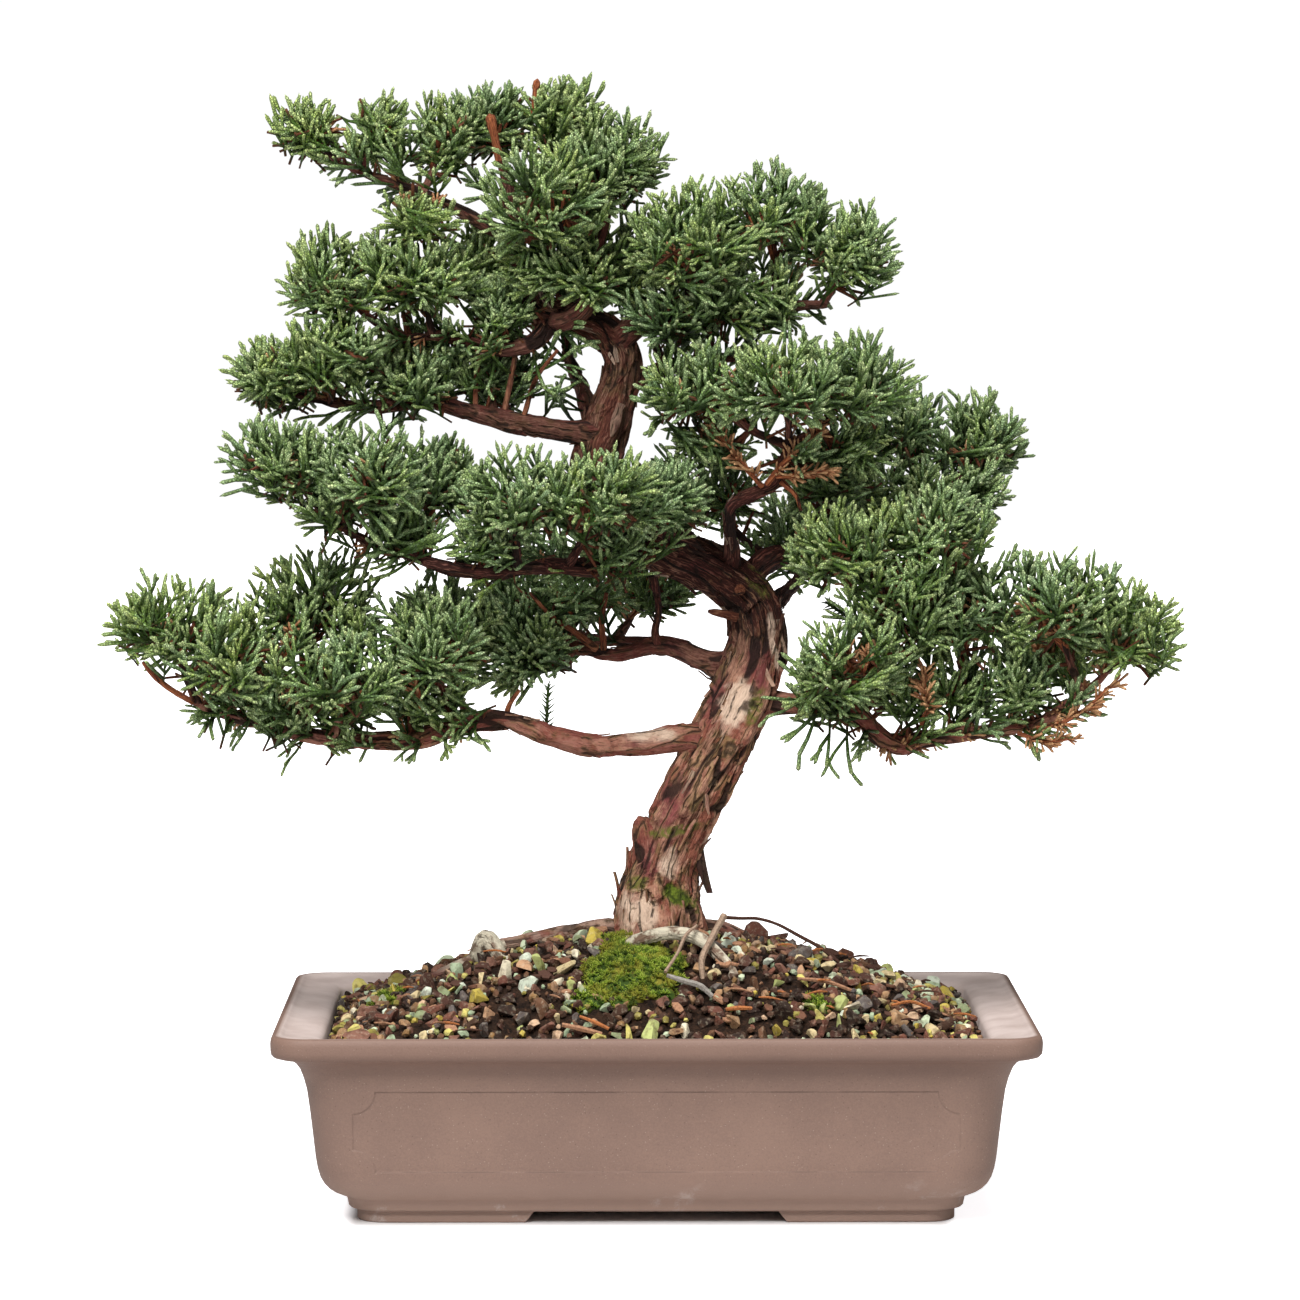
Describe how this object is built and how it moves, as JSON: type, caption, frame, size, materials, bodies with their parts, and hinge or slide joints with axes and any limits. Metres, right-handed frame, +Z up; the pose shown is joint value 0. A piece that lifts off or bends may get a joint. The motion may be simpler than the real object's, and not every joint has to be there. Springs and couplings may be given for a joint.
{
  "type": "bonsai tree",
  "caption": "Curved-trunk juniper bonsai with layered leafy pads, rooted in heaped gravelly soil in a rectangular unglazed stoneware pot on corner feet",
  "frame": {"origin": "on the surface that the feet stand on, under the middle of the whole outline", "axes": "+X to the right along the pot's long side, +Y away from the viewer, +Z up the trunk"},
  "size_m": [0.4424, 0.225, 0.4651],
  "materials": {
    "stoneware": "matt, unglazed, finely speckled",
    "screen": "matt",
    "soil": "rough grit of pumice, zeolite, lava and bark",
    "moss": "soft, matt",
    "bark": "fibrous, flaking, matt",
    "foliage": "scaly whips with a satin bloom"
  },
  "bodies": {
    "root": {"pot": "stoneware", "drainage_screen_left": "screen", "drainage_screen_right": "screen", "soil": "soil", "moss": "moss", "wood": "bark", "leaves_arm_tip": "foliage", "leaves_arm_middle": "foliage", "leaves_arm_inner": "foliage", "leaves_arm_under": "foliage", "leaves_apex_left": "foliage", "leaves_apex_top": "foliage", "leaves_apex_front": "foliage", "leaves_apex_right": "foliage", "leaves_apex_back": "foliage", "leaves_crown_left_end": "foliage", "leaves_crown_left_middle": "foliage", "leaves_crown_left_inner": "foliage", "leaves_crown_left_behind": "foliage", "leaves_crown_right_inner": "foliage", "leaves_crown_right_middle": "foliage", "leaves_crown_right_end": "foliage", "leaves_crown_right_back": "foliage", "leaves_upper_left_end": "foliage", "leaves_upper_left_outer": "foliage", "leaves_upper_left_middle": "foliage", "leaves_upper_left_inner": "foliage", "leaves_shelf_left_end": "foliage", "leaves_shelf_left_middle": "foliage", "leaves_shelf_left_inner": "foliage", "leaves_shelf_centre_left": "foliage", "leaves_shelf_centre": "foliage", "leaves_shelf_centre_right": "foliage", "leaves_middle_right_inner": "foliage", "leaves_middle_right": "foliage", "leaves_middle_right_outer": "foliage", "leaves_behind_trunk": "foliage", "leaves_behind_right": "foliage", "leaves_far_right_inner": "foliage", "leaves_far_right_end": "foliage", "leaves_riser_inner": "foliage", "leaves_riser_outer": "foliage", "leaves_riser_under": "foliage", "leaves_low_right_inner": "foliage", "leaves_low_right_middle": "foliage", "leaves_low_right_outer": "foliage", "leaves_low_right_end": "foliage", "leaves_low_right_back": "foliage", "leaves_low_left_end": "foliage", "leaves_low_left_outer": "foliage", "leaves_low_left_middle": "foliage", "leaves_low_left_front": "foliage", "leaves_low_left_inner": "foliage", "leaves_low_left_back": "foliage", "leaves_low_centre": "foliage", "leaves_back_left_end": "foliage", "leaves_back_left_inner": "foliage", "leaves_back_right_end": "foliage", "leaves_back_upper": "foliage"}
  },
  "joints": []
}
